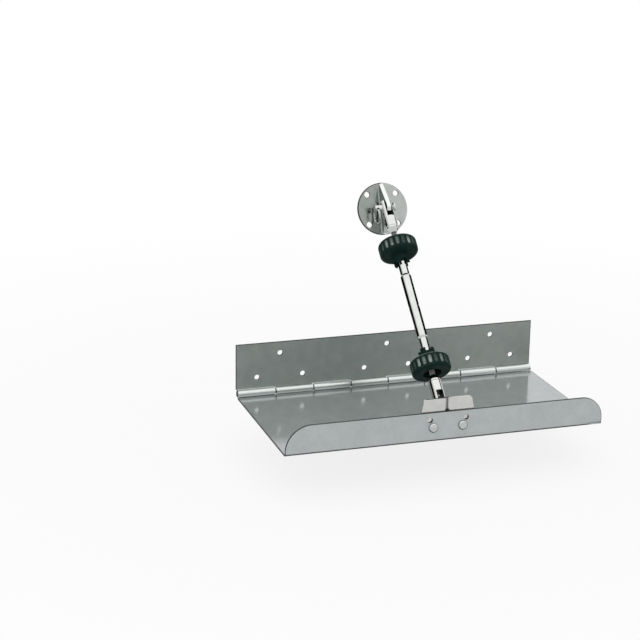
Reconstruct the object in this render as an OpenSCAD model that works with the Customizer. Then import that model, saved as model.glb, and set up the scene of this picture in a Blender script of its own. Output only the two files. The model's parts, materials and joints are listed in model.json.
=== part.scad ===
// Boat trim tab: a hinged plate on a transom leaf, held at its angle by a turnbuckle strut.
// Frame: X along the hinge, +Y into the boat, +Z up. The origin lies on the leaf's back face,
// at mid-width, between the two lower screw holes of the middle group.

/* [Leaf and hinge] */
// Width of the leaf and the plate along the hinge
tab_w = 300; // [240:10:400]
// Height of the leaf from the hinge axis to its top edge
leaf_h = 47.5; // [44:0.5:70]
// Thickness of the leaf and plate sheet
sheet_t = 1.5; // [1.2:0.1:2]
// Height of the lower row of screw holes above the hinge axis
hole_row_low = 14.2; // [12:0.1:18]
// Distance from the lower row of screw holes up to the upper row
hole_row_rise = 22.5; // [15:0.5:26]
// Number of groups of three screw holes
hole_groups = 3; // [2:1:4]
// Spacing of the two lower holes of a group
hole_pair = 45; // [30:1:50]
// Distance from the leaf's end to the outermost screw hole
hole_edge = 20.5; // [12:0.5:30]
// Diameter of the leaf's screw holes
leaf_hole_d = 5; // [4:0.1:6]
// Number of hinge knuckles, shared in turn by plate and leaf
knuckle_count = 8; // [6:2:12]
// Diameter of the hinge pin
hinge_pin_d = 4.9; // [3.9:0.1:6]
// End gap between neighbouring knuckles
knuckle_gap = 1.2; // [0.3:0.1:1.4]

/* [Plate] */
// Length of the plate from the hinge axis to the lip's outer face
plate_chord = 157.5; // [130:0.5:220]
// Overall height of the turned-up lip
lip_h = 27.5; // [24:0.5:34]
// Radius of the lip's left upper corner
lip_corner_left = 24; // [8:1:24]
// Radius of the lip's right upper corner
lip_corner_right = 20; // [8:1:24]
// Inside radius of the folds in the sheet parts
fold_r = 1.5; // [1:0.1:2]

/* [Lower bracket] */
// Thickness of the sheet in the bracket and the base
bracket_t = 2; // [1.5:0.1:2.4]
// Width of the bracket's flange over both halves
flange_w = 50; // [46:1:70]
// Height of the flange's top edge above the plate
flange_top = 38; // [36:0.5:44]
// Height of the flange's lower edge above the plate
flange_low = 4; // [3:0.5:5]
// Height of the lower pivot above the plate
pivot_h = 26.5; // [25:0.5:30]
// Clear space between the fork's end and the flange
pivot_clear = 7.5; // [6:0.5:14]
// Spacing of the two bracket screws
screw_spacing = 28; // [26:0.5:32]
// Height of the bracket screws above the plate
screw_h = 12; // [10:0.5:13]
// Diameter of the bracket screws
screw_d = 5; // [4:0.5:5]
// Spacing of the two spare holes in the lip
spare_spacing = 34; // [32:0.5:40]
// Height of the spare holes above the plate
spare_h = 19; // [18:0.5:20]

/* [Upper base] */
// Diameter of the base disc
disc_d = 49.5; // [44:0.5:60]
// Distance from the base's rim to the middle of its four screw holes
disc_hole_edge = 4.5; // [4:0.1:6]
// Diameter of the base's screw holes
disc_hole_d = 5.5; // [4.5:0.1:6]
// Tilt of the base's face from upright, towards the sky
disc_tilt = 18; // [0:1:25]
// Clear space between the fork's end and the base's sheet
base_clear = 4.5; // [4:0.5:10]

/* [Forks and pins] */
// Diameter of the forks
fork_d = 12; // [11:0.5:14]
// Length of a fork from its pin to the end of its nose
fork_nose = 28.4; // [26:0.2:36]
// Length of a fork's tapering nose
nose_len = 6.6; // [5:0.2:9]
// Diameter of the clevis pins
pin_d = 6; // [5:0.1:6.5]
// Play of a fin on either side in its fork's slot
slot_play = 1.2; // [0.4:0.1:1.4]
// Mean diameter of the split rings on the clevis pins
ring_d = 14.8; // [13:0.2:15]
// Wire diameter of the split rings
ring_wire = 0.95; // [0.8:0.05:1.1]

/* [Turnbuckle] */
// Lean of the strut above horizontal
strut_lean = 43.5; // [38:0.5:50]
// Diameter of the threaded rods
rod_d = 5; // [4:0.1:5.2]
// Length of a threaded rod
rod_len = 72; // [66:0.5:74]
// Bare rod between the upper fork's nose and its knob
upper_rod_bare = 10.6; // [8:0.2:16]
// Bare rod between the lower fork's nose and its knob
lower_rod_bare = 2.4; // [0.4:0.2:5]
// Length of the turnbuckle tube
tube_len = 98; // [94:1:120]
// Diameter of the tube's middle
tube_d = 9.8; // [9.4:0.1:12]
// Diameter of the tube's swaged ends
tube_end_d = 8.2; // [8:0.1:8.8]
// Length of a swaged end
tube_end_len = 15; // [12:0.5:20]
// Wall of the tube
tube_wall = 0.7; // [0.5:0.05:0.8]
// Diameter of the tommy-bar hole through the tube's middle
bar_hole_d = 4; // [3:0.1:4.5]

/* [Lock knobs] */
// Diameter of the lock knobs
knob_d = 36.2; // [34:0.2:48]
// Width of a knob's fluted rim
knob_rim_w = 14; // [13:0.5:16]
// Number of flutes round the rim
flute_count = 20; // [12:1:24]
// Depth of a flute
flute_depth = 0.9; // [0.5:0.1:1.4]
// Length of a knob from its face to the seat of the tube's end
knob_seat = 20.5; // [19:0.5:24]
// Diameter of the knob's hub
hub_d = 15; // [14.5:0.5:20]
// Length of the hub's lugs round the tube's end
lug_len = 3.5; // [2:0.1:5]
// Depth of the recess that takes the fork's nose
recess_depth = 10; // [9:0.5:11]

/* [Hidden] */
$fn = 72;

// Radial clearance of parts that turn or slide on each other
run_fit = 0.05;
// Clearance between parts that only pass each other
pass_gap = 0.3;
// Depth by which a cutter stands proud of what it cuts
over = 1;

// Hinge
knuckle_bore = hinge_pin_d + 2 * run_fit;
knuckle_od = knuckle_bore + 2 * sheet_t;
knuckle_pitch = tab_w / knuckle_count;
curl_slit = 0.5;
axis_y = -knuckle_od / 2;
axis_z = -hole_row_low;
// Where the sheet of one wing clears the other wing's knuckles
sheet_start = sqrt(pow(knuckle_od / 2 + pass_gap, 2) - pow(knuckle_od / 2 - sheet_t, 2));

// Screw holes of the leaf
group_pitch = (tab_w - 2 * hole_edge - hole_pair) / (hole_groups - 1);

// Plate and lip, in the frame of the hinge axis
plate_low = -knuckle_od / 2;
plate_top = plate_low + sheet_t;
lip_inner = plate_chord - sheet_t;

// Forks, measured from the pin's axis
fork_end = 0.62 * fork_d;
eye_r = 0.58 * fork_d;
slot_depth = eye_r + 4.7;
slot_w = 2 * bracket_t + 2 * slot_play;
nose_tip_d = rod_d + 1.2;
rod_grip = nose_len + 1.8;

// Clevis pin and split ring, measured from the middle of the fork
pin_head_d = pin_d + 2.6;
pin_head_h = 2;
ring_width = 1.85 * ring_wire;
ring_hole_d = pin_d * 0.45;
ring_x = fork_d / 2 + pass_gap + ring_hole_d / 2 + 2;
pin_tail = ring_x + ring_hole_d / 2 + 1.2;
ring_arc_drop = ring_d / 2 - sqrt(pow(ring_d / 2, 2) - pow(pin_d / 2, 2));

// Knob
lock_gap = 0.1;
recess_d = fork_d + 5;
insert_d = rod_d + 5;
insert_len = knob_seat - recess_depth - 1;
rim_r = 3;
flute_r = 2.7;
flute_end = 4.6;
lug_count = 4;
lug_notch = 6;

// Tube
plug_d = tube_end_d - 2 * tube_wall - 2 * run_fit;
plug_len = tube_end_len - 1;
swage_len = 2;
dimple_r = 1.1;
// Turn of the tommy-bar hole about the tube
bar_turn = 18;

// Strut, measured along its axis from the upper pin
upper_face = fork_nose + upper_rod_bare;
tube_start = upper_face + knob_seat + lock_gap;
tube_end = tube_start + tube_len;
lower_face = tube_end + lock_gap + knob_seat;
strut_len = lower_face + lower_rod_bare + fork_nose;

// Pivots
lower_pin_y = axis_y - (lip_inner - bracket_t - pivot_clear - fork_end);
lower_pin_z = axis_z + plate_top + pivot_h;
upper_pin_y = lower_pin_y + strut_len * cos(strut_lean);
upper_pin_z = lower_pin_z + strut_len * sin(strut_lean);
disc_pcd = disc_d - 2 * disc_hole_edge;
bracket_back = bracket_t + pivot_clear + fork_end;
base_back = bracket_t + base_clear + fork_end;

// Fasteners of the bracket
screw_head_d = 1.75 * screw_d;
screw_head_h = 0.52 * screw_d;
washer_d = 2 * screw_d;
washer_t = 0.8;
nut_w = 1.6 * screw_d;
nut_h = 0.8 * screw_d;
screw_tip = 0.4;

steel = "#a9b0ae";
bright_steel = "#dfe2e0";
satin_steel = "#7d8481";
black_plastic = "#1a2a27";
brass = "#b59a5a";

// Placement: local Z runs along the strut, from a pin towards the tube
module from_upper_pin() {
    translate([0, upper_pin_y, upper_pin_z])
        rotate([90 + strut_lean, 0, 0])
            children();
}
module from_lower_pin() {
    translate([0, lower_pin_y, lower_pin_z])
        rotate([strut_lean - 90, 0, 0])
            children();
}
// Placement: local origin on the hinge axis at mid-width
module at_hinge() {
    translate([0, axis_y, axis_z])
        children();
}
// Carries an outline drawn in Y and Z along X, from x on for a given length
module along_x(x, length) {
    translate([x, 0, 0])
        rotate([90, 0, 90])
            linear_extrude(length)
                children();
}
// What is left of a square corner beside a circle of radius r
module corner(r) {
    difference() {
        square(r + over);
        circle(r);
    }
}
// Disc with its far edge rounded
module round_head(d, h, r) {
    rotate_extrude() {
        square([d / 2 - r, h]);
        square([d / 2, h - r]);
        intersection() {
            translate([d / 2 - r, h - r])
                circle(r);
            square([d, h]);
        }
    }
}

// Hinge wings
module curl(sheet_angle) {
    rotate(sheet_angle)
        difference() {
            union() {
                circle(d = knuckle_od);
                translate([knuckle_od / 2 - sheet_t, 0])
                    square([sheet_t, sheet_start + over]);
            }
            circle(d = knuckle_bore);
            translate([knuckle_od / 2 - sheet_t - curl_slit, 0])
                square([curl_slit, knuckle_od]);
        }
}
module knuckles(first) {
    for (i = [first : 2 : knuckle_count - 1])
        along_x(-tab_w / 2 + i * knuckle_pitch + knuckle_gap / 2, knuckle_pitch - knuckle_gap)
            children();
}
module transom_leaf() {
    color(satin_steel)
        difference() {
            at_hinge() {
                knuckles(1)
                    curl(0);
                along_x(-tab_w / 2, tab_w)
                    translate([knuckle_od / 2 - sheet_t, sheet_start])
                        square([sheet_t, leaf_h - sheet_start]);
            }
            for (g = [0 : hole_groups - 1])
                translate([(g - (hole_groups - 1) / 2) * group_pitch, 0, 0]) {
                    for (side = [-1, 1])
                        leaf_hole(side * hole_pair / 2, 0);
                    leaf_hole(0, hole_row_rise);
                }
        }
}
module leaf_hole(x, z) {
    translate([x, over, z])
        rotate([90, 0, 0])
            cylinder(d = leaf_hole_d, h = sheet_t + 2 * over);
}
module hinge_pin() {
    color(steel)
        at_hinge()
            translate([-tab_w / 2, 0, 0])
                rotate([0, 90, 0])
                    cylinder(d = hinge_pin_d, h = tab_w);
}

// Plate, drawn about the hinge axis with its length towards -Y
module plate_section() {
    bend = fold_r + sheet_t;
    translate([-(plate_chord - bend), plate_low])
        square([plate_chord - bend - sheet_start, sheet_t]);
    translate([-plate_chord, plate_low + bend])
        square([sheet_t, lip_h - bend]);
    intersection() {
        translate([-plate_chord + bend, plate_low + bend])
            difference() {
                circle(bend);
                circle(fold_r);
            }
        translate([-plate_chord, plate_low])
            square(bend);
    }
}
module lip_hole(x, height, d) {
    translate([x, -lip_inner + over, plate_top + height])
        rotate([90, 0, 0])
            cylinder(d = d, h = sheet_t + 2 * over);
}
module lip_corner(side, r) {
    translate([side * (tab_w / 2 - r), -lip_inner + over, plate_low + lip_h - r])
        rotate([90, 0, 0])
            linear_extrude(sheet_t + 2 * over)
                mirror([side > 0 ? 0 : 1, 0])
                    corner(r);
}
module trim_plate() {
    color(steel)
        at_hinge()
            difference() {
                union() {
                    knuckles(0)
                        mirror([1, 0])
                            curl(-90);
                    along_x(-tab_w / 2, tab_w)
                        plate_section();
                }
                for (side = [-1, 1]) {
                    lip_hole(side * screw_spacing / 2, screw_h, screw_d + 2 * run_fit);
                    lip_hole(side * spare_spacing / 2, spare_h, screw_d);
                    lip_corner(side, side > 0 ? lip_corner_right : lip_corner_left);
                }
            }
}

// Sheet folded into a flange and a fin, pivot at the origin and flange back at z = -back.
// The first child is the flange's outline in X and Y, the second the fin's in Y and Z.
module folded_half(back) {
    bend = fold_r + bracket_t;
    reach = 10 * back;
    difference() {
        intersection() {
            translate([0, 0, -back])
                rotate([90, 0, 0])
                    linear_extrude(2 * reach, center = true) {
                        translate([0, bend])
                            square([bracket_t, reach]);
                        translate([bend, 0])
                            square([reach, bracket_t]);
                        intersection() {
                            translate([bend, bend])
                                difference() {
                                    circle(bend);
                                    circle(fold_r);
                                }
                            square(bend);
                        }
                    }
            union() {
                translate([0, 0, -back])
                    linear_extrude(bend)
                        children(0);
                along_x(0, bracket_t)
                    children(1);
            }
        }
        translate([-over, 0, 0])
            rotate([0, 90, 0])
                cylinder(d = pin_d + 2 * run_fit, h = bracket_t + 2 * over);
    }
}

// Lower bracket: two halves back to back behind the lip
module flange_outline() {
    low = flange_low - pivot_h;
    top = flange_top - pivot_h;
    lean = 1.8;
    round_r = 3.5;
    side = flange_w / 2 - lean;
    polygon([[0, low], [flange_w / 2, low], [flange_w / 2, top - round_r - 5 * lean],
            [side, top - round_r], [side - round_r, top - round_r], [side - round_r, top], [0, top]]);
    translate([side - round_r, top - round_r])
        circle(round_r);
}
module gusset_outline() {
    circle(eye_r);
    polygon([[flange_low - pivot_h, -bracket_back], [flange_top - pivot_h, -bracket_back],
            [eye_r, 0], [-eye_r, 0]]);
}
module bracket_half() {
    difference() {
        folded_half(bracket_back) {
            flange_outline();
            gusset_outline();
        }
        translate([screw_spacing / 2, screw_h - pivot_h, -bracket_back - over])
            cylinder(d = screw_d + 2 * run_fit, h = bracket_t + 2 * over);
    }
}
module at_bracket() {
    translate([0, lower_pin_y, lower_pin_z])
        rotate([90, 0, 180])
            children();
}
module lower_bracket_left() {
    color(bright_steel)
        at_bracket()
            bracket_half();
}
module lower_bracket_right() {
    color(bright_steel)
        at_bracket()
            mirror([1, 0, 0])
                bracket_half();
}

// Screws through lip and flange, local Z from the lip's outer face towards the hinge
module at_screws() {
    for (side = [-1, 1])
        translate([side * screw_spacing / 2, axis_y - plate_chord, axis_z + plate_top + screw_h])
            rotate([-90, 0, 0])
                children();
}
module bracket_screws() {
    stack = sheet_t + bracket_t + washer_t + nut_h + screw_tip;
    color(steel)
        at_screws() {
            mirror([0, 0, 1])
                round_head(screw_head_d, screw_head_h, 0.75 * screw_head_h);
            cylinder(d = screw_d, h = stack);
        }
}
module bracket_washers() {
    color(steel)
        at_screws()
            translate([0, 0, sheet_t + bracket_t])
                difference() {
                    cylinder(d = washer_d, h = washer_t);
                    translate([0, 0, -over])
                        cylinder(d = screw_d + 2 * run_fit, h = washer_t + 2 * over);
                }
}
module bracket_nuts() {
    color(steel)
        at_screws()
            translate([0, 0, sheet_t + bracket_t + washer_t])
                difference() {
                    cylinder(d = nut_w / cos(30), h = nut_h, $fn = 6);
                    translate([0, 0, -over])
                        cylinder(d = screw_d + 2 * run_fit, h = nut_h + 2 * over);
                }
}

// Upper base: two half discs, their fins back to back
module half_disc_outline() {
    intersection() {
        circle(d = disc_d);
        translate([0, -disc_d / 2])
            square([disc_d / 2, disc_d]);
    }
}
module fin_outline() {
    foot = -base_back + bracket_t + fold_r;
    reach = disc_d / 2 - fold_r;
    touch = atan2(foot, reach) + acos(eye_r / norm([reach, foot]));
    circle(eye_r);
    polygon([[-reach, foot], [reach, foot], [eye_r * cos(touch), eye_r * sin(touch)],
            [-eye_r * cos(touch), eye_r * sin(touch)]]);
}
module base_half() {
    difference() {
        folded_half(base_back) {
            half_disc_outline();
            fin_outline();
        }
        for (turn = [-45, 45])
            rotate(turn)
                translate([disc_pcd / 2, 0, -base_back - over])
                    cylinder(d = disc_hole_d, h = bracket_t + 2 * over);
    }
}
module at_base() {
    translate([0, upper_pin_y, upper_pin_z])
        rotate([90 - disc_tilt, 0, 0])
            children();
}
module upper_base_left() {
    color(steel)
        at_base()
            mirror([1, 0, 0])
                base_half();
}
module upper_base_right() {
    color(steel)
        at_base()
            base_half();
}

// Fork: a turned bar with a domed end, a slot for the fin and a stepped nose
module fork() {
    r = fork_d / 2;
    dome = 0.55 * r;
    shoulder = fork_nose - nose_len;
    difference() {
        rotate_extrude() {
            polygon([[0, -fork_end], [r - dome, -fork_end], [r - dome, -fork_end + dome],
                    [r, -fork_end + dome], [r, shoulder], [r - 0.5, shoulder + 0.6],
                    [r - 0.5, shoulder + 2], [r - 1.2, shoulder + 0.45 * nose_len],
                    [nose_tip_d / 2, fork_nose], [0, fork_nose]]);
            intersection() {
                translate([r - dome, -fork_end + dome])
                    circle(dome);
                translate([0, -fork_end])
                    square([r, dome]);
            }
        }
        translate([-slot_w / 2, -fork_d, -fork_end - over])
            cube([slot_w, 2 * fork_d, fork_end + over + slot_depth]);
        translate([-fork_d, 0, 0])
            rotate([0, 90, 0])
                cylinder(d = pin_d + 2 * run_fit, h = 2 * fork_d);
        translate([0, 0, fork_nose - rod_grip])
            cylinder(d = rod_d + 2 * run_fit, h = rod_grip + over);
    }
}
module rod() {
    chamfer = 0.6;
    translate([0, 0, fork_nose - rod_grip])
        rotate_extrude()
            polygon([[0, 0], [rod_d / 2, 0], [rod_d / 2, rod_len - chamfer],
                    [rod_d / 2 - chamfer, rod_len], [0, rod_len]]);
}
module upper_fork() {
    color(bright_steel)
        from_upper_pin()
            fork();
}
module lower_fork() {
    color(bright_steel)
        from_lower_pin()
            fork();
}
module upper_rod() {
    color(steel)
        from_upper_pin()
            rod();
}
module lower_rod() {
    color(steel)
        from_lower_pin()
            rod();
}

// Clevis pin along X, head to the right, cross hole for the ring at its left end
module clevis_pin() {
    head_face = fork_d / 2 + pass_gap / 2;
    difference() {
        union() {
            translate([-pin_tail, 0, 0])
                rotate([0, 90, 0])
                    cylinder(d = pin_d, h = pin_tail + head_face);
            translate([head_face, 0, 0])
                rotate([0, 90, 0])
                    round_head(pin_head_d, pin_head_h, 0.6 * pin_head_h);
        }
        translate([-ring_x, pin_d, 0])
            rotate([90, 0, 0])
                cylinder(d = ring_hole_d, h = 2 * pin_d);
    }
}
// Split ring of two turns, hanging in the pin's cross hole
module split_ring() {
    translate([-ring_x, 0, ring_arc_drop / 2 - ring_d / 2])
        rotate([0, 90, 0])
            rotate_extrude()
                for (turn = [-1, 1])
                    translate([ring_d / 2, turn * (ring_width - ring_wire) / 2])
                        circle(d = ring_wire);
}
module upper_clevis_pin() {
    color(bright_steel)
        translate([0, upper_pin_y, upper_pin_z])
            clevis_pin();
}
module lower_clevis_pin() {
    color(bright_steel)
        translate([0, lower_pin_y, lower_pin_z])
            clevis_pin();
}
module upper_split_ring() {
    color(bright_steel)
        translate([0, upper_pin_y, upper_pin_z])
            split_ring();
}
module lower_split_ring() {
    color(bright_steel)
        translate([0, lower_pin_y, lower_pin_z])
            split_ring();
}

// Lock knob: fork-side face at z = 0, hub and lugs towards the tube
module knob_section() {
    rim = knob_d / 2;
    difference() {
        union() {
            translate([0, rim_r])
                square([rim, knob_rim_w - 2 * rim_r]);
            square([rim - rim_r, knob_rim_w]);
            for (z = [rim_r, knob_rim_w - rim_r])
                translate([rim - rim_r, z])
                    circle(rim_r);
            square([hub_d / 2, knob_seat + lug_len]);
        }
        translate([-knob_d, -over])
            square([knob_d, 2 * knob_d]);
        translate([0, -over])
            square([recess_d / 2, recess_depth + over]);
        square([insert_d / 2 + run_fit, recess_depth + insert_len]);
        square([rod_d / 2 + pass_gap, knob_seat]);
        translate([0, knob_seat])
            square([tube_end_d / 2 + pass_gap, lug_len + over]);
    }
}
module flute() {
    translate([knob_d / 2 + flute_r - flute_depth, 0, 0]) {
        translate([0, 0, flute_end])
            cylinder(r = flute_r, h = knob_rim_w - 2 * flute_end, $fn = 32);
        for (z = [flute_end, knob_rim_w - flute_end])
            translate([0, 0, z])
                sphere(flute_r, $fn = 32);
    }
}
module knob() {
    difference() {
        rotate_extrude()
            knob_section();
        for (i = [0 : flute_count - 1])
            rotate(i * 360 / flute_count)
                flute();
        for (i = [0 : lug_count / 2 - 1])
            rotate(i * 360 / lug_count)
                translate([-hub_d, -lug_notch / 2, knob_seat])
                    cube([2 * hub_d, lug_notch, lug_len + over]);
    }
}
module knob_insert() {
    difference() {
        cylinder(d = insert_d, h = insert_len);
        translate([0, 0, -over])
            cylinder(d = rod_d + 2 * run_fit, h = insert_len + 2 * over);
    }
}
module from_upper_face() {
    from_upper_pin()
        translate([0, 0, upper_face])
            children();
}
module from_lower_face() {
    from_lower_pin()
        translate([0, 0, strut_len - lower_face])
            children();
}
module upper_lock_knob() {
    color(black_plastic)
        from_upper_face()
            knob();
}
module lower_lock_knob() {
    color(black_plastic)
        from_lower_face()
            knob();
}
module upper_knob_insert() {
    color(brass)
        from_upper_face()
            translate([0, 0, recess_depth])
                knob_insert();
}
module lower_knob_insert() {
    color(brass)
        from_lower_face()
            translate([0, 0, recess_depth])
                knob_insert();
}

// Turnbuckle tube with swaged ends, and the threaded plug inside each end
module tube_outline(end_r, mid_r) {
    polygon([[0, 0], [end_r, 0], [end_r, tube_end_len], [mid_r, tube_end_len + swage_len],
            [mid_r, tube_len - tube_end_len - swage_len], [end_r, tube_len - tube_end_len],
            [end_r, tube_len], [0, tube_len]]);
}
module turnbuckle_tube() {
    color(bright_steel)
        from_upper_pin()
            translate([0, 0, tube_start])
                difference() {
                    rotate_extrude()
                        tube_outline(tube_end_d / 2, tube_d / 2);
                    rotate_extrude()
                        tube_outline(tube_end_d / 2 - tube_wall, tube_d / 2 - tube_wall);
                    translate([0, 0, tube_len / 2])
                        rotate([0, 90, bar_turn])
                            cylinder(d = bar_hole_d, h = 2 * tube_d, center = true);
                    for (z = [tube_end_len, tube_len - tube_end_len])
                        for (turn = [60, 240])
                            rotate(turn)
                                translate([tube_end_d / 2 + dimple_r - 0.4, 0, z])
                                    sphere(dimple_r, $fn = 32);
                }
}
module tube_plug() {
    difference() {
        cylinder(d = plug_d, h = plug_len);
        translate([0, 0, -over])
            cylinder(d = rod_d + 2 * run_fit, h = plug_len + 2 * over);
    }
}
module upper_tube_plug() {
    color(brass)
        from_upper_pin()
            translate([0, 0, tube_start])
                tube_plug();
}
module lower_tube_plug() {
    color(brass)
        from_lower_pin()
            translate([0, 0, strut_len - tube_end])
                tube_plug();
}

transom_leaf();
hinge_pin();
trim_plate();
lower_bracket_left();
lower_bracket_right();
bracket_screws();
bracket_washers();
bracket_nuts();
lower_fork();
lower_rod();
lower_clevis_pin();
lower_split_ring();
lower_tube_plug();
turnbuckle_tube();
upper_tube_plug();
lower_knob_insert();
lower_lock_knob();
upper_knob_insert();
upper_lock_knob();
upper_fork();
upper_rod();
upper_clevis_pin();
upper_split_ring();
upper_base_left();
upper_base_right();
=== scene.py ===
import json

import bmesh
import bpy
import numpy as np
from mathutils import Matrix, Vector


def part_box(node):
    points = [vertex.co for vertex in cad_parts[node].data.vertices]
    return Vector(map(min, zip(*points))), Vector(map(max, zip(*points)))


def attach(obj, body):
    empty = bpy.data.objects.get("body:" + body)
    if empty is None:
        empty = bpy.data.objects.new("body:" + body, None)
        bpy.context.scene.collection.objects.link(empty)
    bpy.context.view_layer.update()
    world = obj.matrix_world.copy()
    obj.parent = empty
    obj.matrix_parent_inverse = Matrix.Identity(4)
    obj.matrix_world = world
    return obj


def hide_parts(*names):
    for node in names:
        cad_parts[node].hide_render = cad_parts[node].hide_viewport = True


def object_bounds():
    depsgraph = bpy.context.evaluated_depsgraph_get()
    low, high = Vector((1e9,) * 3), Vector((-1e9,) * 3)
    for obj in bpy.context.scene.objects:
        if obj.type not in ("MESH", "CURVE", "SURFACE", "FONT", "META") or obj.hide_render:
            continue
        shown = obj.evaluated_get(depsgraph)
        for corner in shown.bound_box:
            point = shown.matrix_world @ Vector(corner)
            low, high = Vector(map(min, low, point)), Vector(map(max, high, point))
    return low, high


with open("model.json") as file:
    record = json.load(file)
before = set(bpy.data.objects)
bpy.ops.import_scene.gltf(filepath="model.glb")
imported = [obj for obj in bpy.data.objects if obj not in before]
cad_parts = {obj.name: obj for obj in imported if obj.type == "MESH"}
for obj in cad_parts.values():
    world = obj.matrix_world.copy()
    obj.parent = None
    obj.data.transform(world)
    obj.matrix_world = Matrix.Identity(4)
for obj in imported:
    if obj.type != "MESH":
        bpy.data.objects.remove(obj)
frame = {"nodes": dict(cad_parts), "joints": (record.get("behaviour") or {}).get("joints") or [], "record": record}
cad_box = [list(corner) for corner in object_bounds()]
MM = 0.001
HINGE_LINE = np.array([1.0, 0.0, 0.0])
THROUGH_SHEET = np.array([0.0, 1.0, 0.0])

# Sizes of the CAD pieces that new pieces and finishes follow
KNOB_RADIUS = 18.1 * MM
RIM_WIDTH = 14 * MM
LOWER_RIM, UPPER_RIM = 37.8 * MM, 46.0 * MM  # the middle of a knob's rim, from the nearer clevis pin
FORK_RADIUS = 6 * MM
SLOT_WIDTH = 6.4 * MM
SLOT_DEPTH = 11.66 * MM
ROD_START, ROD_LENGTH = 20 * MM, 72 * MM  # from the nearer clevis pin
THREAD_RADIUS, THREAD_PITCH = 2.5 * MM, 0.8 * MM
WIRE_THICK = 0.95 * MM
NUT_FLATS, NUT_BORE = 8 * MM, 5.1 * MM
KNUCKLE_RADIUS = 4 * MM
FIN_FACE = 2 * MM
HOLE_RADIUS, BASE_HOLE_RADIUS = 2.5 * MM, 2.75 * MM
GROUP_SPACING, HOLE_ASIDE, HOLE_UP = 107 * MM, 22.5 * MM, 22.5 * MM
SPARE_ASIDE, SPARE_Z = 17 * MM, 2.3 * MM
BASE_CIRCLE = 20.25 * MM
LIP_CORNERS = 24 * MM, 20 * MM
DIMPLES_DOWN = 74.6 * MM, 142.6 * MM  # from the upper clevis pin

# Sizes that only this scene has
WIRE_WIDTH = 0.85 * MM  # two turns side by side lie within the CAD ring's width
FADE = 0.1 * MM  # over which a mask goes from 1 to 0
SKIN = 0.1 * MM  # by which a mask is set off from a face
RIM_FULL, RIM_NONE = 0.04 * MM, 0.12 * MM  # past a hole's wall
CUT_INSET = 0.4 * MM  # of a cut edge's mask, inside the outline
LEFT_CUT, RIGHT_CUT = 24.1 * MM, 24.7 * MM  # where the cut edge starts on each half of the base
DIMPLE_REACH = 0.9 * MM  # just past a dimple's rim
FLOOR_REACH, FLOOR_DROP = 8.0, 40 * MM  # the plate's lowest position clears the floor

# Places of the hinge and of the two clevis pins, and the strut's direction and lean
pivots = {joint["name"]: np.array(joint["pos_m"]) for joint in frame["joints"] if "pos_m" in joint}
hinge_point, lower_pin, upper_pin = (pivots[name] for name in ("plate_hinge", "lower_pivot", "upper_pivot"))
up_strut = (upper_pin - lower_pin) / np.linalg.norm(upper_pin - lower_pin)
strut_lean = float(np.arctan2(up_strut[2], up_strut[1]))


# Surfaces

def add_piece(name, grids, body, slot, material, *nodes):
    """One mesh from grids of points. Each grid is a (u, v, 3) array whose v rows are closed rings, and whose
    u rows are closed too where its second value is True. Doubled points at poles are merged and the faces
    turned out."""
    points, faces, first = [], [], 0
    for grid, closed in grids:
        rows, columns = grid.shape[:2]
        u = np.arange(rows if closed else rows - 1)[:, None]
        v = np.arange(columns)[None, :]
        u_next, v_next = (u + 1) % rows, (v + 1) % columns
        corners = [u * columns + v, u * columns + v_next, u_next * columns + v_next, u_next * columns + v]
        faces.append(first + np.stack(corners, -1).reshape(-1, 4))
        points.append(grid.reshape(-1, 3))
        first += rows * columns
    mesh = bpy.data.meshes.new(name)
    mesh.from_pydata(np.concatenate(points).tolist(), [], np.concatenate(faces).tolist())
    work = bmesh.new()
    work.from_mesh(mesh)
    bmesh.ops.remove_doubles(work, verts=work.verts, dist=1e-7)
    bmesh.ops.recalc_face_normals(work, faces=work.faces)
    work.to_mesh(mesh)
    work.free()
    mesh.shade_smooth()
    mesh.materials.append(material)
    piece = bpy.data.objects.new(name, mesh)
    bpy.context.scene.collection.objects.link(piece)
    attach(piece, body)
    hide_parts(*nodes)


def threaded_rod(pin, along, start, length, radius, pitch, hand):
    """A rod as a radius over distance s and turn t. The radius is the crest's less the thread's depth times a
    trapezoid wave of (s / pitch - hand * t), cut by a cone at each end; the end rows close on the axis."""
    rows_a_turn, columns = 8, 32
    depth = 0.613 * pitch  # of a metric thread
    crest, flank = 0.13, 0.62  # as shares of half a pitch
    steps = int(round(length / pitch)) * rows_a_turn + 1
    s, t = np.meshgrid(np.linspace(0, length, steps), np.arange(columns) / columns, indexing="ij")
    wave = np.abs(((s / pitch - hand * t) % 1) * 2 - 1)
    r = radius - depth * np.clip((wave - crest) / flank, 0, 1)
    end_r = radius - 0.9 * depth  # of the cone at each end
    r = np.minimum(r, end_r + np.minimum(s, length - s))
    s, t = (np.concatenate([a[:1], a, a[-1:]]) for a in (s, t))
    r = np.pad(r, ((1, 1), (0, 0)))
    side, across = HINGE_LINE, np.cross(along, HINGE_LINE)
    angle = 2 * np.pi * t[..., None]
    axis = pin + (start + s[..., None]) * along
    return axis + r[..., None] * (np.cos(angle) * side + np.sin(angle) * across), False


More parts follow.
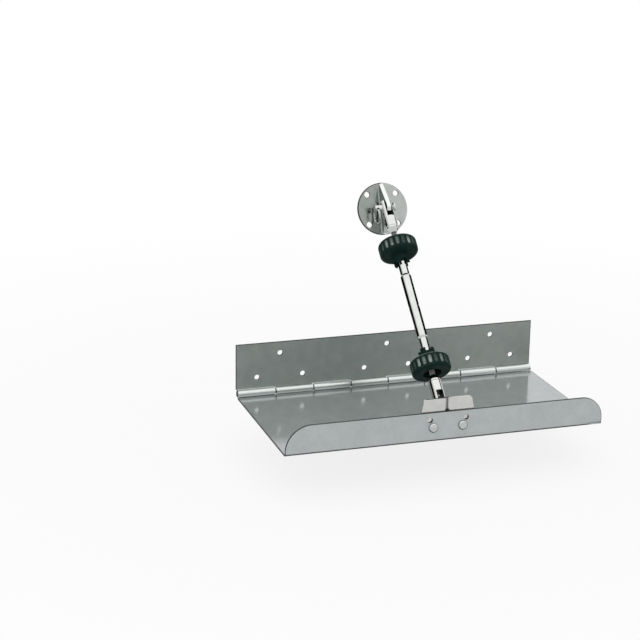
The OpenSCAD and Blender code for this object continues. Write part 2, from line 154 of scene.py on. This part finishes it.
def split_ring(centre, ring_r, wire, width):
    """Flat wire carried round two turns. Its middle keeps to one side for the first turn, crosses on a smooth
    step and keeps to the other side for the second; the section is an ellipse that shrinks to a point at both
    ends."""
    rows, columns = 240, 12
    first_end, last_end, taper = 0.07, 1.93, 0.012  # in turns
    cross_from, cross_for = 0.93, 0.14  # in turns
    start = np.radians(-150)
    t = np.linspace(first_end, last_end, rows)[:, None]
    around = (np.arange(columns) / columns * 2 * np.pi)[None, :]
    step = np.clip((t - cross_from) / cross_for, 0, 1)
    side = (step * step * (3 - 2 * step) - 0.5) * width
    near_end = np.clip(np.minimum(t - t[0], t[-1] - t) / taper, 0, 1)
    swell = np.sqrt(1 - (1 - near_end) ** 2)
    angle = 2 * np.pi * t + start
    r = ring_r + swell * wire / 2 * np.cos(around)
    x = side + swell * width / 2 * np.sin(around)
    offsets = np.stack([x, r * np.cos(angle), r * np.sin(angle)], -1)
    return centre + offsets, False


def hexagon_nut(seat, across_flats, height, bore):
    """A nut as a closed loop of rings. The outer radius over turn t and height h is the smaller of the
    hexagon's and a 30 degree cone's from each face; the bore is countersunk by a short cone."""
    columns = 72
    t = np.arange(columns)[None, :] / columns * 2 * np.pi
    levels = [np.linspace(0, 0.15, 7), np.linspace(0.2, 0.8, 4), np.linspace(0.85, 1, 7)]
    h = np.concatenate(levels) * height
    hexagon = across_flats / 2 / np.cos(t % (np.pi / 3) - np.pi / 6)
    inset = np.minimum(h, height - h)[:, None]
    face_r, cone = 0.95 * across_flats / 2, np.radians(30)
    outer = np.minimum(hexagon, face_r + inset / np.tan(cone))
    sink = 0.4 * MM
    inner_h = np.array([height, height - sink, sink, 0])
    inner_r = bore / 2 + np.array([sink, 0, 0, sink])
    r = np.concatenate([outer, np.repeat(inner_r[:, None], columns, 1)])
    y = np.concatenate([h, inner_h])[:, None] + 0 * r
    return seat + np.stack([r * np.cos(t), y, r * np.sin(t)], -1), True


# Materials

MATH, VECTOR, RANGE = "ShaderNodeMath", "ShaderNodeVectorMath", "ShaderNodeMapRange"
MIX, NOISE, BUMP = "ShaderNodeMix", "ShaderNodeTexNoise", "ShaderNodeBump"


def colour(code):
    """An sRGB hex colour as linear red, green, blue and full alpha."""
    value = np.array([int(code[i:i + 2], 16) for i in (1, 3, 5)]) / 255
    linear = np.where(value <= 0.04045, value / 12.92, ((value + 0.055) / 1.055) ** 2.4)
    return (*linear.tolist(), 1.0)


def new_tree(name):
    """A material with an empty node tree."""
    material = bpy.data.materials.new(name)
    material.use_nodes = True
    material.node_tree.nodes.clear()
    return material, material.node_tree


def add(tree, kind, inputs, **settings):
    """Adds a node with its settings. An input takes a value, or a link where an output socket is given."""
    node = tree.nodes.new(kind)
    for key, value in settings.items():
        setattr(node, key, value)
    for key, value in inputs.items():
        if isinstance(value, bpy.types.NodeSocket):
            tree.links.new(value, node.inputs[key])
        else:
            node.inputs[key].default_value = value
    return node


def line_distance(tree, place, point, along):
    """How far a place is from the line through a point: the length of its offset crossed with the line's
    direction."""
    offset = add(tree, VECTOR, {0: place, 1: tuple(point)}, operation="SUBTRACT").outputs[0]
    crossed = add(tree, VECTOR, {0: offset, 1: tuple(along)}, operation="CROSS_PRODUCT").outputs[0]
    return add(tree, VECTOR, {0: crossed}, operation="LENGTH").outputs["Value"]


def line_height(tree, place, point, along):
    """How far along a line a place is, from a point: its offset's dot product with the line's direction."""
    offset = add(tree, VECTOR, {0: place, 1: tuple(point)}, operation="SUBTRACT").outputs[0]
    return add(tree, VECTOR, {0: offset, 1: tuple(along)}, operation="DOT_PRODUCT").outputs["Value"]


def near_lines(points, along, full, none):
    """A mask by the distance to the nearest of several parallel lines: 1 at the full distance, fading to 0 at
    none."""
    def mask(tree, place):
        nearest = line_distance(tree, place, points[0], along)
        for point in points[1:]:
            other = line_distance(tree, place, point, along)
            nearest = add(tree, MATH, {0: nearest, 1: other}, operation="MINIMUM").outputs[0]
        return add(tree, RANGE, {"Value": nearest, "From Min": none, "From Max": full}).outputs[0]
    return mask


def cut_outline(half_width, top, left_r, right_r, inset):
    """A mask of an upright sheet's cut edge: how far a place lies inside a rectangle that is open below and
    has two rounded upper corners, as the nearer corner's radius less the distance from that corner's
    centre."""
    corner = (half_width, 0, top)

    def mask(tree, place):
        x, _, z = add(tree, "ShaderNodeSeparateXYZ", {0: place}).outputs
        r = add(tree, RANGE, {"Value": x, "From Min": -MM, "From Max": MM,
                              "To Min": left_r, "To Max": right_r}).outputs[0]
        aside = add(tree, MATH, {0: x}, operation="ABSOLUTE").outputs[0]
        at = add(tree, "ShaderNodeCombineXYZ", {0: aside, 2: z}).outputs[0]
        arm = add(tree, "ShaderNodeCombineXYZ", {0: r, 2: r}).outputs[0]
        from_corner = add(tree, VECTOR, {0: at, 1: corner}, operation="SUBTRACT").outputs[0]
        from_centre = add(tree, VECTOR, {0: from_corner, 1: arm}, operation="ADD").outputs[0]
        outside = add(tree, VECTOR, {0: from_centre, 1: (0, 0, 0)}, operation="MAXIMUM").outputs[0]
        reach = add(tree, VECTOR, {0: outside}, operation="LENGTH").outputs["Value"]
        depth = add(tree, MATH, {0: r, 1: reach}, operation="SUBTRACT").outputs[0]
        return add(tree, RANGE, {"Value": depth, "From Min": inset + FADE, "From Max": inset}).outputs[0]
    return mask


# Mask for painted shade in the forks' slots
def fork_slots(tree, place):
    """A mask of the forks' slots: near the strut's upright plane, inside the bar, and no deeper than the
    slots."""
    middle = (lower_pin + upper_pin) / 2
    slot_floor = np.linalg.norm(upper_pin - middle) - SLOT_DEPTH
    x = line_height(tree, place, lower_pin, HINGE_LINE)
    aside = add(tree, MATH, {0: x}, operation="ABSOLUTE").outputs[0]
    from_middle = line_height(tree, place, middle, up_strut)
    height = add(tree, MATH, {0: from_middle}, operation="ABSOLUTE").outputs[0]
    radius = line_distance(tree, place, lower_pin, up_strut)
    tests = [(aside, SLOT_WIDTH / 2 + SKIN / 2, "LESS_THAN"),
             (radius, FORK_RADIUS - SKIN, "LESS_THAN"),
             (height, slot_floor - SKIN, "GREATER_THAN")]
    share = 1.0
    for value, limit, test in tests:
        passed = add(tree, MATH, {0: value, 1: limit}, operation=test).outputs[0]
        share = add(tree, MATH, {0: passed, 1: share}, operation="MULTIPLY").outputs[0]
    return share


# Mask for a painted highlight on the fin's cut edges
def fin_edges(tree, place):
    """A mask of the cut edges of the base's fin: between its two faces, and proud of the disc's sheet."""
    x = line_height(tree, place, lower_pin, HINGE_LINE)
    aside = add(tree, MATH, {0: x}, operation="ABSOLUTE").outputs[0]
    from_base = line_height(tree, place, base_centre, base_out)
    proud = add(tree, MATH, {0: from_base}, operation="ABSOLUTE").outputs[0]
    near = add(tree, RANGE, {"Value": aside, "From Min": FIN_FACE - SKIN / 2,
                             "From Max": FIN_FACE - SKIN / 2 - FADE}).outputs[0]
    none, full = 2.4 * MM, 3.2 * MM
    above = add(tree, RANGE, {"Value": proud, "From Min": none, "From Max": full}).outputs[0]
    return add(tree, MATH, {0: near, 1: above}, operation="MULTIPLY").outputs[0]


def rim_flutes(tree, place, pin, along, rim_middle):
    """A mask of a knob's flutes: the places of its rim that lie nearer to the strut's line than the crests
    between the flutes. It grows down the strut and ends short of the rim's lower edge."""
    radius = line_distance(tree, place, pin, along)
    height = line_height(tree, place, pin + rim_middle * along, -up_strut)
    edge = RIM_WIDTH / 2
    # The mask grows down the strut, so that the painted highlight is strongest towards the flutes' lower ends
    growth = add(tree, RANGE, {"Value": height, "From Min": MM - edge, "From Max": edge - 3 * MM,
                               "To Min": 0.3}).outputs[0]
    short = add(tree, RANGE, {"Value": height, "From Min": edge - 1.5 * MM,
                              "From Max": edge - 2.7 * MM}).outputs[0]
    inside = add(tree, MATH, {0: growth, 1: short}, operation="MULTIPLY").outputs[0]
    hollow = add(tree, RANGE, {"Value": radius, "From Min": KNOB_RADIUS - SKIN,
                               "From Max": KNOB_RADIUS - 0.8 * MM}).outputs[0]
    below_flutes = KNOB_RADIUS - 1.2 * MM
    outer = add(tree, MATH, {0: radius, 1: below_flutes}, operation="GREATER_THAN").outputs[0]
    both = add(tree, MATH, {0: inside, 1: hollow}, operation="MULTIPLY").outputs[0]
    return add(tree, MATH, {0: both, 1: outer}, operation="MULTIPLY").outputs[0]


def metal(name, pale, dark, gloss, cloud_mm, grain_mm, grain, turned=False, streak=1.0, marks=(), clear=1.0):
    """Steel or brass. Clouds of cloud_mm shift its colour between pale and dark and its roughness between the
    two gloss values; a grain of grain_mm, drawn out streak times along the hinge line or, where turned, round
    the strut, raises its surface by the grain's height in mm. Each mark is a mask with the colour and
    roughness given for it: burnish, painted shade or a painted highlight. The clear share of the light is
    mirrored; fine scratches scatter the rest."""
    material, tree = new_tree(name)
    place = add(tree, "ShaderNodeTexCoord", {}).outputs["Object"]
    lean = strut_lean - np.pi / 2 if turned else 0
    across = (1, 1, streak) if turned else (1 / streak, 1, 1)
    aligned = add(tree, "ShaderNodeMapping", {"Vector": place, "Rotation": (-lean, 0, 0)}).outputs[0]
    drawn = add(tree, "ShaderNodeMapping", {"Vector": aligned, "Scale": across}).outputs[0]
    clouds = add(tree, NOISE, {"Vector": place, "Scale": 1 / (cloud_mm * MM), "Detail": 3.0}).outputs[0]
    grit = add(tree, NOISE, {"Vector": drawn, "Scale": 1 / (grain_mm * MM), "Detail": 2.0}).outputs[0]
    tone = add(tree, MATH, {0: clouds, 1: grit}, operation="ADD").outputs[0]
    spread = {"Value": tone, "From Min": 0.75, "From Max": 1.25}
    part = add(tree, RANGE, spread).outputs[0]
    mixed = add(tree, MIX, {0: part, 6: colour(dark), 7: colour(pale)}, data_type="RGBA").outputs[2]
    rough = add(tree, RANGE, {**spread, "To Min": gloss[0], "To Max": gloss[1]}).outputs[0]
    for mask, tint, haze in marks:
        share = mask(tree, place)
        mixed = add(tree, MIX, {0: share, 6: mixed, 7: colour(tint)}, data_type="RGBA").outputs[2]
        rough = add(tree, MIX, {0: share, 2: rough, 3: haze}).outputs[0]
    raised = add(tree, BUMP, {"Height": grit, "Strength": 1.0, "Distance": grain * MM}).outputs[0]
    shader = add(tree, "ShaderNodeBsdfPrincipled",
                 {"Base Color": mixed, "Metallic": clear, "Roughness": rough, "Normal": raised})
    add(tree, "ShaderNodeOutputMaterial", {"Surface": shader.outputs[0]})
    return material


def moulded_nylon(name, pin, along, rim_middle):
    """Injection-moulded glass-filled nylon: near-black with a green cast, glossy, with a faint pebble left by
    the mould and a painted grey highlight in the flutes. The painted highlight is weaker on the rim's two
    sides and in one flute, as the photograph shows it."""
    patch_size, pebble_size, pebble_height = 8 * MM, 0.5 * MM, 0.006 * MM
    highlight_middle = pin - 3 * MM * HINGE_LINE
    highlight_full, highlight_weak = 11 * MM, 13.5 * MM  # to either side of that
    weak_turn, weak_full, weak_none = np.radians(87), 2 * MM, 3.2 * MM  # of the weaker flute
    material, tree = new_tree(name)
    place = add(tree, "ShaderNodeTexCoord", {}).outputs["Object"]
    patches = add(tree, NOISE, {"Vector": place, "Scale": 1 / patch_size, "Detail": 2.0}).outputs[0]
    pebble = add(tree, NOISE, {"Vector": place, "Scale": 1 / pebble_size, "Detail": 2.0}).outputs[0]
    uneven = add(tree, RANGE, {"Value": patches, "From Min": 0.35, "From Max": 0.65,
                               "To Min": 0.35, "To Max": 1.0}).outputs[0]
    x = line_height(tree, place, highlight_middle, HINGE_LINE)
    aside = add(tree, MATH, {0: x}, operation="ABSOLUTE").outputs[0]
    facing = add(tree, RANGE, {"Value": aside, "From Min": highlight_weak, "From Max": highlight_full,
                               "To Min": 0.2}).outputs[0]
    flutes = rim_flutes(tree, place, pin, along, rim_middle)
    fore = add(tree, MATH, {0: flutes, 1: facing}, operation="MULTIPLY").outputs[0]
    outwards = np.cos(weak_turn) * HINGE_LINE - np.sin(weak_turn) * np.cross(up_strut, HINGE_LINE)
    weak_flute = near_lines([pin + KNOB_RADIUS * outwards], along, weak_full, weak_none)
    kept = add(tree, RANGE, {"Value": weak_flute(tree, place), "To Min": 1.0, "To Max": 0.25}).outputs[0]
    fore = add(tree, MATH, {0: fore, 1: kept}, operation="MULTIPLY").outputs[0]
    # The painted highlight: pale grey in the flutes, standing for light caught there
    painted_highlight = add(tree, MATH, {0: fore, 1: uneven}, operation="MULTIPLY").outputs[0]
    black = add(tree, MIX, {0: patches, 6: colour("#152925"), 7: colour("#203630")},
                data_type="RGBA").outputs[2]
    mixed = add(tree, MIX, {0: painted_highlight, 6: black, 7: colour("#c3cdc8")}, data_type="RGBA").outputs[2]
    rough = add(tree, RANGE, {"Value": painted_highlight, "To Min": 0.26, "To Max": 0.42}).outputs[0]
    raised = add(tree, BUMP, {"Height": pebble, "Strength": 1.0, "Distance": pebble_height}).outputs[0]
    shader = add(tree, "ShaderNodeBsdfPrincipled", {"Base Color": mixed, "Roughness": rough, "IOR": 1.5,
                                                    "Specular IOR Level": 0.02, "Normal": raised})
    add(tree, "ShaderNodeOutputMaterial", {"Surface": shader.outputs[0]})
    return material


# Painted shade on hole walls, cut edges, slots and dimples, and a painted highlight on the fin's cut edges: a
# colour and roughness for each
WALL_AND_EDGE_SHADE, EDGE_HIGHLIGHT, RECESS_SHADE = ("#3b3e3c", 0.5), ("#cfd2d0", 0.16), ("#2c2e2d", 0.45)
leaf_holes = [np.array([x + dx, 0, dz]) for x in (-GROUP_SPACING, 0, GROUP_SPACING)
              for dx, dz in ((-HOLE_ASIDE, 0), (HOLE_ASIDE, 0), (0, HOLE_UP))]
spare_holes = [np.array([side * SPARE_ASIDE, 0, SPARE_Z]) for side in (-1, 1)]
base_face = next(mount for mount in frame["record"]["mounts"] if mount["name"] == "base_holes")
base_out, base_centre = np.array(base_face["axis"]), np.array(base_face["pos_m"])
base_across = np.cross(base_out, HINGE_LINE)
base_holes = [base_centre + BASE_CIRCLE * (np.cos(turn) * HINGE_LINE + np.sin(turn) * base_across)
              for turn in np.radians((45, 135, 225, 315))]
knuckles = near_lines([hinge_point], HINGE_LINE, KNUCKLE_RADIUS + SKIN, KNUCKLE_RADIUS + 0.6 * MM)
# Masks for painted shade on the holes' walls
shaded_leaf_holes = near_lines(leaf_holes, THROUGH_SHEET, HOLE_RADIUS + RIM_FULL, HOLE_RADIUS + RIM_NONE)
shaded_lip_holes = near_lines(spare_holes, THROUGH_SHEET, HOLE_RADIUS + RIM_FULL, HOLE_RADIUS + RIM_NONE)
shaded_base_holes = near_lines(base_holes, base_out, BASE_HOLE_RADIUS + RIM_FULL, BASE_HOLE_RADIUS + RIM_NONE)
leaf_top, plate_top = (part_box(node)[1] for node in ("transom_leaf", "trim_plate"))
# Masks for painted shade along the sheets' cut edges; the band on the base's left half is wider
shaded_leaf_edge = cut_outline(leaf_top[0], leaf_top[2], MM, MM, CUT_INSET)
shaded_plate_edge = cut_outline(plate_top[0], plate_top[2], *LIP_CORNERS, CUT_INSET)
shaded_left_base_edge, shaded_right_base_edge = (near_lines([base_centre], base_out, inner, inner - FADE)
                                 for inner in (LEFT_CUT, RIGHT_CUT))
# Painted shade in the tube's dimples: their places and a mask round them
dimple_line = (HINGE_LINE + np.sqrt(3) * np.cross(HINGE_LINE, up_strut)) / 2
dimples = [upper_pin - down * up_strut for down in DIMPLES_DOWN]
shaded_tube_dimples = near_lines(dimples, dimple_line, DIMPLE_REACH, DIMPLE_REACH + FADE)
# Mask for painted shade in the thread's roots
shaded_thread_roots = near_lines([lower_pin], up_strut, THREAD_RADIUS - 0.4 * MM, THREAD_RADIUS - SKIN)

# Cold-rolled stainless sheet: grey and hazy, with streaks along the roll; its curled knuckles are burnished,
# and painted shade darkens its holes' walls and its cut edges
rolled_sheet = metal("cold_rolled_stainless", "#a9afab", "#9ea5a1", (0.44, 0.52), 9, 0.7, 0.002, streak=5,
                     marks=[(knuckles, "#c2c7c4", 0.24), (shaded_leaf_holes, *WALL_AND_EDGE_SHADE), (shaded_leaf_edge, *WALL_AND_EDGE_SHADE)])
# Bright-annealed stainless sheet: a clearer mirror, faintly clouded, brighter still on its knuckles, with
# painted shade on the spare holes' walls and the cut edges
bright_sheet = metal("bright_annealed_stainless", "#b8bdbd", "#adb2b2", (0.12, 0.16), 12, 0.8, 0.0006,
                     streak=4, clear=0.68,
                     marks=[(knuckles, "#d2d6d4", 0.12), (shaded_lip_holes, *WALL_AND_EDGE_SHADE), (shaded_plate_edge, *WALL_AND_EDGE_SHADE)])
# Drawn wire of the hinge pin: dull and dark
drawn_wire = metal("drawn_stainless_wire", "#4e514f", "#414442", (0.34, 0.44), 5, 0.4, 0.002, streak=8)
# Folded and tumbled stainless: pale, soft reflections, no direction
tumbled_sheet = metal("tumbled_stainless", "#cdcdcb", "#c0c0be", (0.20, 0.28), 8, 0.6, 0.003)
# Cold-headed stainless of the screws, washers and nuts: small bright reflections
headed_steel = metal("cold_headed_stainless", "#c2c6c4", "#b0b5b2", (0.14, 0.22), 4, 0.4, 0.002)
# Pressed and buffed stainless of the base: grey, fairly clear reflections; one finish, with the right half
# painted lighter than the left for how the light falls on them, a painted highlight on the fin's cut edges
# and painted shade on the holes' walls and the rim's cut edge
buffed_sheet = metal("buffed_stainless", "#9da29f", "#8a908c", (0.12, 0.20), 7, 0.6, 0.003,
                     marks=[(fin_edges, *EDGE_HIGHLIGHT), (shaded_base_holes, *WALL_AND_EDGE_SHADE), (shaded_left_base_edge, *WALL_AND_EDGE_SHADE)])
lighter_painted_half = metal("buffed_stainless_painted_lighter", "#b6bab8", "#aaafac", (0.12, 0.20), 7, 0.6, 0.003,
                      marks=[(fin_edges, *EDGE_HIGHLIGHT), (shaded_base_holes, *WALL_AND_EDGE_SHADE), (shaded_right_base_edge, *WALL_AND_EDGE_SHADE)])
# Turned and polished stainless: a bright mirror with fine rings round the bar, and painted shade in the
# forks' slots and the tube's dimples
polished_bar = metal("polished_turned_stainless", "#c8cac8", "#bcbebc", (0.06, 0.11), 10, 0.5, 0.001, True, 6,
                     marks=[(fork_slots, *RECESS_SHADE), (shaded_tube_dimples, *RECESS_SHADE)])
# Cut thread: bright crests, duller than the polished bar, and roots darkened with painted shade
cut_thread = metal("thread_cut_stainless", "#c0c1bf", "#a9abaa", (0.18, 0.28), 4, 0.3, 0.001,
                   marks=[(shaded_thread_roots, "#444644", 0.4)])
# Turned brass: yellow with fine rings
turned_brass = metal("turned_brass", "#c9ac62", "#b2934a", (0.16, 0.24), 5, 0.4, 0.002, True, 6)
# Moulded nylon of the knobs: green-black and glossy, with a painted grey highlight in the flutes; one for
# each knob, because the painted highlight follows the knob's own rim
lower_nylon = moulded_nylon("lower_moulded_nylon", lower_pin, up_strut, LOWER_RIM)
upper_nylon = moulded_nylon("upper_moulded_nylon", upper_pin, -up_strut, UPPER_RIM)

finishes = {
    rolled_sheet: ["transom_leaf"],
    drawn_wire: ["hinge_pin"],
    bright_sheet: ["trim_plate"],
    tumbled_sheet: ["lower_bracket_left", "lower_bracket_right"],
    headed_steel: ["bracket_screws", "bracket_washers"],
    buffed_sheet: ["upper_base_left"],
    lighter_painted_half: ["upper_base_right"],
    polished_bar: ["lower_fork", "upper_fork", "turnbuckle_tube", "lower_clevis_pin", "upper_clevis_pin"],
    turned_brass: ["lower_tube_plug", "upper_tube_plug", "lower_knob_insert", "upper_knob_insert"],
    lower_nylon: ["lower_lock_knob"],
    upper_nylon: ["upper_lock_knob"],
}
for finish, nodes in finishes.items():
    for node in nodes:
        for slot in frame["nodes"][node].material_slots:
            slot.material = finish

# Threaded rods, right-hand below and left-hand above, with an M5 thread
for end, pin, along, hand in (("lower", lower_pin, up_strut, 1), ("upper", upper_pin, -up_strut, -1)):
    rod = threaded_rod(pin, along, ROD_START, ROD_LENGTH, THREAD_RADIUS, THREAD_PITCH, hand)
    add_piece(end + "_threaded_rod", [rod], end + "_end", "polished_steel", cut_thread, end + "_rod")

# Split rings, each as one coiled wire
for end in ("lower", "upper"):
    low, high = (np.array(corner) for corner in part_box(end + "_split_ring"))
    ring_radius = (high - low)[2] / 2 - WIRE_THICK / 2
    ring = split_ring((low + high) / 2, ring_radius, WIRE_THICK, WIRE_WIDTH)
    add_piece(end + "_coiled_ring", [ring], end + "_ring", "polished_steel", polished_bar,
              end + "_split_ring")

# Hexagon nuts with chamfered corners
low, high = (np.array(corner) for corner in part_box("bracket_nuts"))
nut_reach = NUT_FLATS / 2 / np.cos(np.pi / 6)
nuts = [hexagon_nut(np.array([x, low[1], (low[2] + high[2]) / 2]), NUT_FLATS, high[1] - low[1], NUT_BORE)
        for x in (low[0] + nut_reach, high[0] - nut_reach)]
add_piece("chamfered_nuts", nuts, "tab", "folded_steel", headed_steel, "bracket_nuts")


# Camera at the photograph's place: right, up and back are the columns of its turn
right, up, ahead = (0.9518, -0.3065, 0.0136), (0.0776, 0.2834, 0.9558), (0.2969, 0.9087, -0.2935)
camera_place = (-0.56857, -1.53400, 0.54643)
camera = bpy.data.objects.new("camera", bpy.data.cameras.new("camera"))
camera.data.sensor_width = 36
camera.data.lens = 100.57
turn = Matrix((right, up, tuple(-a for a in ahead))).transposed()
camera.matrix_world = Matrix.Translation(camera_place) @ turn.to_4x4()
bpy.context.scene.collection.objects.link(camera)
bpy.context.scene.camera = camera
bpy.context.scene.view_settings.view_transform = "Standard"


# Studio: a pale floor that whitens with distance, a soft box overhead, black cards upright at the left and
# the right and flat behind and under the part, and a grey card flat beside it. Only reflections show the
# cards.
def add_panel(name, corners, material):
    """A flat sheet over four corners, for the studio."""
    mesh = bpy.data.meshes.new(name)
    mesh.from_pydata(corners, [], [(0, 1, 2, 3)])
    mesh.materials.append(material)
    panel = bpy.data.objects.new(name, mesh)
    bpy.context.scene.collection.objects.link(panel)
    return panel


def flat_corners(x_from, x_to, y_from, y_to, z):
    """The four corners of a level rectangle."""
    return [(x_from, y_from, z), (x_to, y_from, z), (x_to, y_to, z), (x_from, y_to, z)]


def seen_ray(tree):
    """1 for rays that show the background: from the camera, a mirror or a clear surface."""
    rays = add(tree, "ShaderNodeLightPath", {}).outputs
    share = rays["Is Camera Ray"]
    for ray in ("Is Glossy Ray", "Is Transmission Ray"):
        share = add(tree, MATH, {0: share, 1: rays[ray]}, operation="MAXIMUM").outputs[0]
    return share


def floor_paper():
    """White paper: partly matt near the object, where its shadow falls, and plain white further out."""
    material, tree = new_tree("white_paper")
    place = add(tree, "ShaderNodeTexCoord", {}).outputs["Object"]
    matt_to, white_from, white_share = 0.25, 0.9, 0.84
    distance = add(tree, VECTOR, {0: place}, operation="LENGTH").outputs["Value"]
    fade = add(tree, RANGE, {"Value": distance, "From Min": matt_to, "From Max": white_from,
                             "To Min": white_share},
               interpolation_type="SMOOTHSTEP").outputs[0]
    share = add(tree, MATH, {0: fade, 1: seen_ray(tree)}, operation="MULTIPLY").outputs[0]
    matt = add(tree, "ShaderNodeBsdfDiffuse", {"Color": colour("#f8f8f8")}).outputs[0]
    white = add(tree, "ShaderNodeEmission", {"Strength": 1.0}).outputs[0]
    mixed = add(tree, "ShaderNodeMixShader", {0: share, 1: matt, 2: white}).outputs[0]
    add(tree, "ShaderNodeOutputMaterial", {"Surface": mixed})
    return material


def dull_card(name, shade):
    """Card: dull and without colour."""
    material, tree = new_tree(name)
    matt = add(tree, "ShaderNodeBsdfDiffuse", {"Color": colour(shade)}).outputs[0]
    add(tree, "ShaderNodeOutputMaterial", {"Surface": matt})
    return material


floor_z = cad_box[0][2] - FLOOR_DROP
floor_corners = flat_corners(-FLOOR_REACH, FLOOR_REACH, -FLOOR_REACH, FLOOR_REACH, floor_z)
add_panel("studio_floor", floor_corners, floor_paper())
black, grey = dull_card("black_card", "#0c0c0c"), dull_card("grey_card", "#787878")
low = floor_z + MM
side = 0.9
cards = {
    "left_card": (black, [(-side, 0.06, low), (-side, 1.1, low), (-side, 1.1, 0.4), (-side, 0.06, 0.45)]),
    "right_card": (black, [(side, -0.16, 0.61), (side, 0.62, low), (side, 0.94, low), (side, -0.16, 1.02)]),
    "back_card": (black, flat_corners(-1.6, 1.6, 0.3, 1.8, low)),
    "under_card": (black, flat_corners(-0.16, 0.16, -0.19, 0.02, low)),
    "near_card": (grey, flat_corners(0.17, 0.5, -0.25, 0.05, low)),
}
for name, (shade, corners) in cards.items():
    card = add_panel(name, corners, shade)
    card.visible_camera = False
    card.visible_diffuse = False
    card.visible_shadow = False

soft_box = bpy.data.objects.new("soft_box", bpy.data.lights.new("soft_box", "AREA"))
soft_box.data.size = 3.6
soft_box.data.energy = 20
soft_box.location = (0, -0.1, 1.4)
bpy.context.scene.collection.objects.link(soft_box)

world = bpy.data.worlds.new("studio")
bpy.context.scene.world = world
world.use_nodes = True
tree = world.node_tree
tree.nodes.clear()
level = add(tree, RANGE, {"Value": seen_ray(tree), "To Min": 0.5, "To Max": 1.0}).outputs[0]
sky = add(tree, "ShaderNodeBackground", {"Color": colour("#ffffff"), "Strength": level}).outputs[0]
add(tree, "ShaderNodeOutputWorld", {"Surface": sky})
